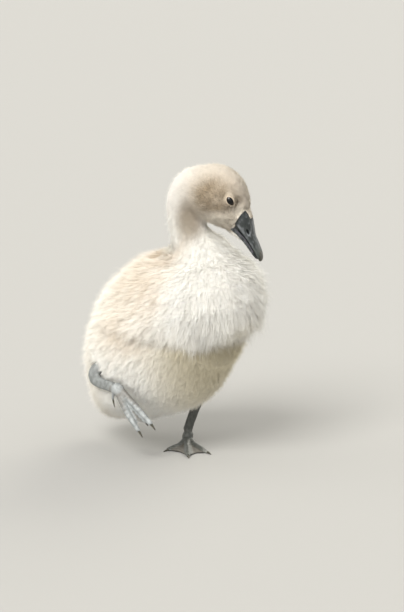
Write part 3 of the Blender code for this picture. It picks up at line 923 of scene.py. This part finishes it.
def lower_bill():
    mesh, points, _ = fine_skin(("bill_lower",), 0, 0.28, 8)
    along = in_bill_frame(points)[:, 0]
    moved_out(mesh, 0.08 * (blotches(points, 1.4, 4) - 0.5))
    colour = painted(
        SLATE,
        (PALE_SLATE, 0.5 * ramp(0.4, 0.9, blotches(points, 3.0, 12))),
        (DARK_SLATE, 0.5 * ramp(1, -3, along)))
    new_piece("bill_lower_skin", mesh, colour, "bill_skin", ("bill_lower",))


def gape():
    """The bare skin at the corner of the mouth, which runs on between the two halves of the bill."""
    swell = 1.3
    mesh, points, _ = fine_skin(BILL, swell, 0.45, 3)
    moved_out(mesh, -swell - 0.05 - 1.5 * ramp(2, 6, in_bill_frame(points)[:, 0]))
    with edited(mesh) as bm:
        cut = bmesh.ops.bisect_plane(bm, geom=[*bm.verts, *bm.edges, *bm.faces], plane_no=BILL_ALONG,
                                     plane_co=BILL_ROOT + 17 * MM * BILL_ALONG, clear_outer=True)
        rim = [part for part in cut["geom_cut"] if isinstance(part, bmesh.types.BMEdge)]
        bmesh.ops.holes_fill(bm, edges=rim)
    along = in_bill_frame(mesh_arrays(mesh)[0])[:, 0]
    new_piece("bill_gape", mesh, mix(DARK_SLATE, SLATE, 1 - ramp(2, 6, along)), "bill_skin")


def lamellae():
    """The fine comb along the edge of the bill: short pale plates, on both sides."""
    tree = tree_of("bill_lower", "bill_upper")
    points, faces, colours = [], [], []
    corners = np.array([*product((-1, 1), repeat=3)])
    sides = [(0, 1, 3, 2), (4, 6, 7, 5), (0, 4, 5, 1), (2, 3, 7, 6), (0, 2, 6, 4), (1, 5, 7, 3)]
    for sign, along in product(HANDS.values(), np.arange(1.0, 21.0, 0.5)):
        line = np.interp(along, *np.transpose(COMB_LINE))
        outside = BILL_ROOT + (along * BILL_ALONG + line * BILL_ABOVE + sign * 14 * HEAD_LEFT) * MM
        hit = tree.ray_cast((outside - 0.7 * MM * BILL_ABOVE).tolist(), (-sign * HEAD_LEFT).tolist(), 20 * MM)
        if hit[0] is None:
            continue
        middle = np.array(hit[0]) + (0.15 * BILL_ABOVE - sign * 0.05 * HEAD_LEFT) * MM
        box = corners * LAMELLA_HALF * MM * np.where(corners[:, 1:2] < 0, (0.8, 1, 0.4), 1)
        faces += [[len(points) + k for k in side] for side in sides]
        points += (middle + box @ np.stack([BILL_ALONG, BILL_ABOVE, sign * HEAD_LEFT])).tolist()
        colours += [LAMELLA * (0.9 + 0.2 * ((int(along * 10) * 7) % 5) / 5)] * 8
    mesh = new_mesh(points, faces)
    with edited(mesh) as bm:
        bmesh.ops.recalc_face_normals(bm, faces=bm.faces)
    new_piece("bill_lamellae", mesh, np.array(colours), "bill_skin")


def nail():
    mesh, points, _ = fine_skin(("bill_nail",), 0.12, 0.18, 8)
    along, above, left = in_bill_frame(points).T
    moved_out(mesh, 0.12 * hump(left, 0, 1.2) - 0.06 * (blotches(points, 1.0, 9) - 0.5))
    colour = mix(HORN, HORN * 2.2, 0.5 * ramp(25, 22, along))
    new_piece("bill_nail_horn", mesh, colour, "horn", ("bill_nail",))


# -------- the eyes

PUPIL = radians(29)
CORNEA = 0.12  # how far it stands out of the ball
IRIS = radians(50)
IRIS_DARK = rgb(0.010, 0.006, 0.004)
IRIS_BROWN = rgb(0.028, 0.016, 0.009)
PUPIL_BLACK = rgb(0.002, 0.002, 0.002)
BALL_DARK = rgb(0.010, 0.008, 0.007)


def eyeball(hand):
    """A glossy ball with a slightly raised cornea, a dark iris and a black pupil."""
    eye = SEES[hand]
    mesh = new_mesh([], [])
    with edited(mesh) as bm:
        bmesh.ops.create_uvsphere(bm, u_segments=96, v_segments=64, radius=1)
    mesh.shade_smooth()
    ball, _ = mesh_arrays(mesh)
    angle = np.arccos(np.clip(ball[:, 2], -1, 1))
    turn = np.arctan2(ball[:, 1], ball[:, 0])
    radius = EYE_RADIUS + CORNEA * np.exp(-(angle / PUPIL) ** 4)
    set_points(mesh, eye.middle + (ball * radius[:, None] * MM) @ np.stack([eye.along, eye.across, eye.out]))
    streaks = 0.5 + 0.25 * np.sin(41 * turn) + 0.25 * np.sin(67 * turn + 2)
    colour = painted(
        IRIS_DARK,
        (IRIS_BROWN, streaks),
        (PUPIL_BLACK, 1 - ramp(PUPIL * 0.92, PUPIL, angle)),
        (BALL_DARK, ramp(IRIS * 0.85, IRIS, angle)))
    new_piece(f"eyeball_{hand}", mesh, colour, "eye", (f"eye_{hand}",))


LID_TURNS = 120
# Across the lid from under its edge to under the down: millimetres from the opening, height over
# the ball, and how much of the height is the face's instead.
LID = ((-0.30, -0.45, 0), (-0.05, 0.08, 0), (0.06, 0.22, 0), (0.2, 0.28, 0), (0.4, 0.22, 0.1),
       (0.65, 0.12, 0.4), (1.0, 0.05, 0.8), (1.5, 0.0, 1), (2.1, -0.2, 1), (2.8, -0.6, 1))
LID_SKIN = rgb(0.33, 0.275, 0.21)
LID_EDGE = rgb(0.035, 0.028, 0.024)


def lids(hand, skin):
    """The upper and the lower lid as one rolled rim that runs out under the down of the face."""
    eye = SEES[hand]
    tree = search_tree(skin.points, skin.faces)
    turn = 2 * pi * np.arange(LID_TURNS) / LID_TURNS
    across = np.cos(turn)[:, None] * eye.along + np.sin(turn)[:, None] * eye.across
    points, colours = [], []
    for out, height, share in LID:
        away = eye.edge(turn) + out
        folds = 0.05 * np.sin(26 * turn) * hump(out, 0.9, 0.6) + 0.04 * np.sin(9 * turn + out * 4) * share
        level = eye.dome(away) + height
        if share:
            start = eye.middle + across * (away * MM)[:, None] + eye.out * 12 * MM
            reach = [tree.ray_cast(p, (-eye.out).tolist(), 20 * MM)[3] for p in start.tolist()]
            face = np.array([12 - (r or 12 * MM) / MM for r in reach]) + min(height, 0.25)
            level = np.maximum(level * (1 - share) + face * share, eye.dome(away) + 0.2 - 9 * (out > 2))
        points.append(eye.middle + across * (away * MM)[:, None] + eye.out * ((level + folds) * MM)[:, None])
        tone = painted(LID_SKIN, (LID_SKIN * 1.7, hump(out, 0.35, 0.25)), (LID_EDGE, hump(out, -0.1, 0.16)))
        colours += [tone] * LID_TURNS
    ahead = [*range(1, LID_TURNS), 0]
    faces = [(row + i, row + ahead[i], row + LID_TURNS + ahead[i], row + LID_TURNS + i)
             for row in range(0, (len(LID) - 1) * LID_TURNS, LID_TURNS) for i in range(LID_TURNS)]
    mesh = new_mesh(np.concatenate(points).tolist(), faces)
    with edited(mesh) as bm:
        bmesh.ops.recalc_face_normals(bm, faces=bm.faces)
        bm.normal_update()
        if sum(face.normal.dot(Vector(eye.out)) for face in bm.faces) < 0:
            bmesh.ops.reverse_faces(bm, faces=bm.faces)
    rim = new_piece(f"lids_{hand}", mesh, np.array(colours), "head_down", made_of="lid_skin")
    smoother = rim.modifiers.new("smoother", "SUBSURF")
    smoother.levels = smoother.render_levels = 1


# -------- the legs and the feet

# the first grey is the legs' grey darkened as painted shade; the second is paler
SHADED_LEG_GREY = rgb(0.050, 0.052, 0.042)
PALE_GREY = rgb(0.34, 0.36, 0.36)
WEB_BROWN = rgb(0.12, 0.105, 0.085)
# painted shade for the undersides of the standing foot
SOLE_SHADE = rgb(0.09, 0.09, 0.08)
BALLS = {"left": (-6.0, -6.1, -3.9), "right": (-9.1, -4.6, -4.1)}  # from the foot's box's high corner
# How far each toe of the raised right foot is bowed at its middle.
TOE_BOWS = {"inner": (0.6, 0.4, 0), "middle": (-0.6, 2, 2.5), "outer": (-1.1, 2, 1.9), "hind": (0, 0, 0)}
# Where the front of each leg faces.
AHEAD = {"left": np.array((0, -1.0, 0.0)), "right": np.array((-0.6, 0.2, 0.7))}
KNUCKLES = ((0.42, 0.07), (0.70, 0.06), (0.95, 0.05))  # where along each toe, and how wide


def toe_axes(hand):
    """The ball of the foot, the way up the leg, and each toe's line from the ball to its claw."""
    ball = np.array(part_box(f"foot_{hand}")[1]) + np.array(BALLS[hand]) * MM
    t = np.linspace(0, 1, 13)[:, None]
    lines = {}
    for toe in TOES:
        end = centre(f"claw_{hand}_{toe}")
        bow = np.array(TOE_BOWS[toe]) * MM * (hand == "right")
        lines[toe] = ball + (end - ball) * t + 4 * t * (1 - t) * bow
    return ball, unit(centre(f"leg_{hand}") - ball), lines


def bands_of(along, width):
    """Raised bands this wide, with narrow grooves between them."""
    return np.abs(np.sin(pi * along / width)) ** 0.5 - 0.6


def on_toes(points, ball, lines):
    """How far each point is from the nearest toe's line, and that toe's scutes and knuckles there."""
    nearest = np.full(len(points), 99.0)
    scutes, knuckles = np.zeros(len(points)), np.zeros(len(points))
    for line in lines.values():
        reach = lengths(line[-1] - ball)
        step = lengths(line[1] - line[0])
        best = lengths(points[:, None] - line[None]).min(1)
        away = np.sqrt(np.maximum(best ** 2 - (0.3 * step) ** 2, 0)) / MM
        along = np.clip((points - ball) @ unit(line[-1] - ball) / reach, 0, 1.1)
        closer = away < nearest
        nearest = np.where(closer, away, nearest)
        ridges = bands_of(along * reach / MM, 1.3)
        scutes = np.where(closer, ridges * ramp(0.12, 0.25, along), scutes)
        knuckles = np.where(closer, sum(hump(along, *place) for place in KNUCKLES), knuckles)
    return nearest, scutes, knuckles


def leg_and_foot(hand):
    """One leg and its foot in one skin: scutes down the front and over the toes, and thin webs."""
    mesh, points, faces = fine_skin((f"leg_{hand}", f"foot_{hand}"), 0.22, 0.42, 4)
    ball, up_leg, lines = toe_axes(hand)
    joint = hump((points - ball) @ up_leg / MM, 3.5, 3.0)[:, None]
    joint *= (lengths(points - ball) < 9 * MM)[:, None]
    for _ in range(12):
        points = points + joint * (neighbour_mean(faces, points, 1) - points)
    set_points(mesh, points)
    normals = point_normals(mesh)
    plane = unit(np.cross(lines["outer"][-1] - ball, lines["inner"][-1] - ball))
    plane *= np.sign(plane @ up_leg)
    ahead = unit(AHEAD[hand] - up_leg * (AHEAD[hand] @ up_leg))
    nearest, scutes, knuckles = on_toes(points, ball, lines)
    on_toe = 1 - ramp(2.4, 3.6, nearest)
    height = (points - ball) @ up_leg / MM
    on_leg = ramp(3.0, 6.0, height)
    bands = bands_of(height, 1.9)
    front = ramp(-0.1, 0.5, normals @ unit(plane * 0.2 + ahead))
    top = ramp(0.0, 0.5, normals @ plane)
    web = (1 - on_toe) * (1 - on_leg) * ramp(4.0, 6.0, lengths(points - ball) / MM)
    amount = on_toe * (1 - on_leg) * (0.12 * scutes * top + 0.03 * knuckles) + 0.16 * on_leg * bands * front
    amount = amount - 0.45 * web - 0.12 + 0.9 * joint[:, 0] * hump(height, 3.6, 2.2)
    points = points + normals * (amount * MM)[:, None]
    points[:, 2] = np.maximum(points[:, 2], 0)
    set_points(mesh, points)

    spots = blotches(points, 4, 21)
    # the standing left leg is nearly all the darker grey, as painted shade; the raised right one is paler
    base = mix(SHADED_LEG_GREY, PALE_GREY, 0.85 - 0.35 * on_leg if hand == "right" else 0.1)
    groove = ramp(-0.2, -0.5, np.where(on_leg > 0.5, bands * front, scutes * top))
    colour = painted(
        base,
        (base * 0.6, 0.5 * ramp(0.5, 0.15, spots)),
        (base * 1.3, 0.4 * ramp(0.6, 0.9, spots)))
    colour = painted(
        colour,
        (colour * 0.86, groove * np.maximum(on_toe, on_leg)),
        (WEB_BROWN, 0.7 * web),
        # painted shade on the standing foot's undersides
        (SOLE_SHADE, 0.5 * (1 - top) * (1 - on_leg) * (hand == "left")))
    new_piece(f"leg_and_foot_{hand}", mesh, colour, "leg_skin", (f"leg_{hand}", f"foot_{hand}"))


def claws(hand):
    """The horn of each toe's claw, flat where it meets the floor."""
    for toe in TOES:
        node = f"claw_{hand}_{toe}"
        mesh, points, _ = fine_skin((node,), 0.12, 0.16, 5)
        points[:, 2] = np.maximum(points[:, 2], 0)
        set_points(mesh, points)
        colour = mix(HORN, HORN * 1.8, blotches(points, 1.2, 31))
        new_piece(f"{node}_horn", mesh, colour, "horn", (node,))


# -------- stage

AZIMUTH = radians(-48)
ELEVATION = radians(12)
DISTANCE = 2.5  # in metres, as are the height that the view takes in and the floor's reach
VIEW_HEIGHT = 0.4162
AIM = (20.1, 0.0)  # right of and above the box's centre, in millimetres
FLOOR_REACH = 15


def camera():
    """The photo's view, through a long lens."""
    right = np.array((cos(AZIMUTH), sin(AZIMUTH), 0))
    back = np.array((sin(AZIMUTH) * cos(ELEVATION),
                     -cos(AZIMUTH) * cos(ELEVATION), sin(ELEVATION)))
    up = np.cross(back, right)
    low, high = (np.array(corner) for corner in cad_box)
    aim = (low + high) / 2 + (AIM[0] * right + AIM[1] * up) * MM
    data = bpy.data.cameras.new("camera")
    data.sensor_width = 36
    data.lens = 36 * DISTANCE / VIEW_HEIGHT
    data.clip_start = 0.1
    obj = placed("camera", data)
    rows = np.stack([right, up, back, aim + back * DISTANCE], 1).tolist()
    obj.matrix_world = Matrix([*rows, (0, 0, 0, 1)])
    bpy.context.scene.camera = obj


def sun(name, towards, power, softness, colour):
    """Even light over the whole floor, from a soft patch of sky this many degrees wide."""
    data = bpy.data.lights.new(name, "SUN")
    data.energy = power
    data.angle = radians(softness)
    data.color = colour
    placed(name, data).rotation_euler = Vector(towards).to_track_quat("Z", "Y").to_euler()


def stage():
    """A plain grey floor under an overcast sky, with a soft sun from the bird's right."""
    corners = [(x * FLOOR_REACH, y * FLOOR_REACH, 0) for x, y in ((-1, -1), (1, -1), (1, 1), (-1, 1))]
    floor = placed("floor", new_mesh(corners, [(0, 1, 2, 3)]))
    floor.data.materials.append(principled("floor", Roughness=0.8, Base_Color=(0.36, 0.355, 0.34, 1)))
    world = bpy.data.worlds.new("studio")
    world.use_nodes = True
    sky = world.node_tree.nodes["Background"].inputs
    sky["Color"].default_value = (1.0, 0.985, 0.95, 1)
    sky["Strength"].default_value = 0.85
    bpy.context.scene.world = world
    sun("key", (-0.72, -0.22, 0.72), 3.35, 32, (1, 0.985, 0.955))
    sun("rim", (0.85, 0.1, 0.5), 1.3, 40, (1, 0.965, 0.84))
    sun("back", (-0.5, 0.85, 0.3), 0.55, 60, (1, 0.99, 0.97))
    sun("low", (-0.8, -0.58, 0.14), 0.45, 50, (0.99, 0.99, 1))
    sun("catchlight", (-0.86, -0.25, 0.62), 0.12, 7, (1, 1, 1))
    bpy.context.scene.view_settings.view_transform = "Standard"


# -------- putting it together

def body():
    """The skin and its coat; gives back the skin's shape."""
    skin = Skin(skin_mesh())
    skin.bake = unwrap(new_piece("skin", skin.mesh, skin.colour, "down", FLESH, "down_skin"))
    obstacles = [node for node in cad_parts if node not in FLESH]
    points, faces = nodes_joined(obstacles)
    box = (points.min(0) - 15 * MM, points.max(0) + 15 * MM)
    blocked = {"tree": search_tree(points, faces), "box": box}
    named = coat_of(skin)
    for seed, name in enumerate(COATS):
        density = DENSITY * (HEAD_DENSITY if "head" in name else 1)
        share = min(1, density * skin.weights[named == name].sum())
        coat, colours = make_coat(skin, named == name, share, seed, blocked)
        new_piece(f"coat_{name}", coat, colours, "down")
    return skin


def details(skin):
    """The bill, the eyes with their lids, the legs, the feet and the claws."""
    for part in (upper_bill, lower_bill, gape, lamellae, nail):
        part()
    for hand in HANDS:
        eyeball(hand)
        lids(hand, skin)
        leg_and_foot(hand)
        claws(hand)


stage()
camera()
for material in (down_skin, down, bill_skin, horn, glossy_eye, lid_skin, leg_skin):
    material()
details(body())
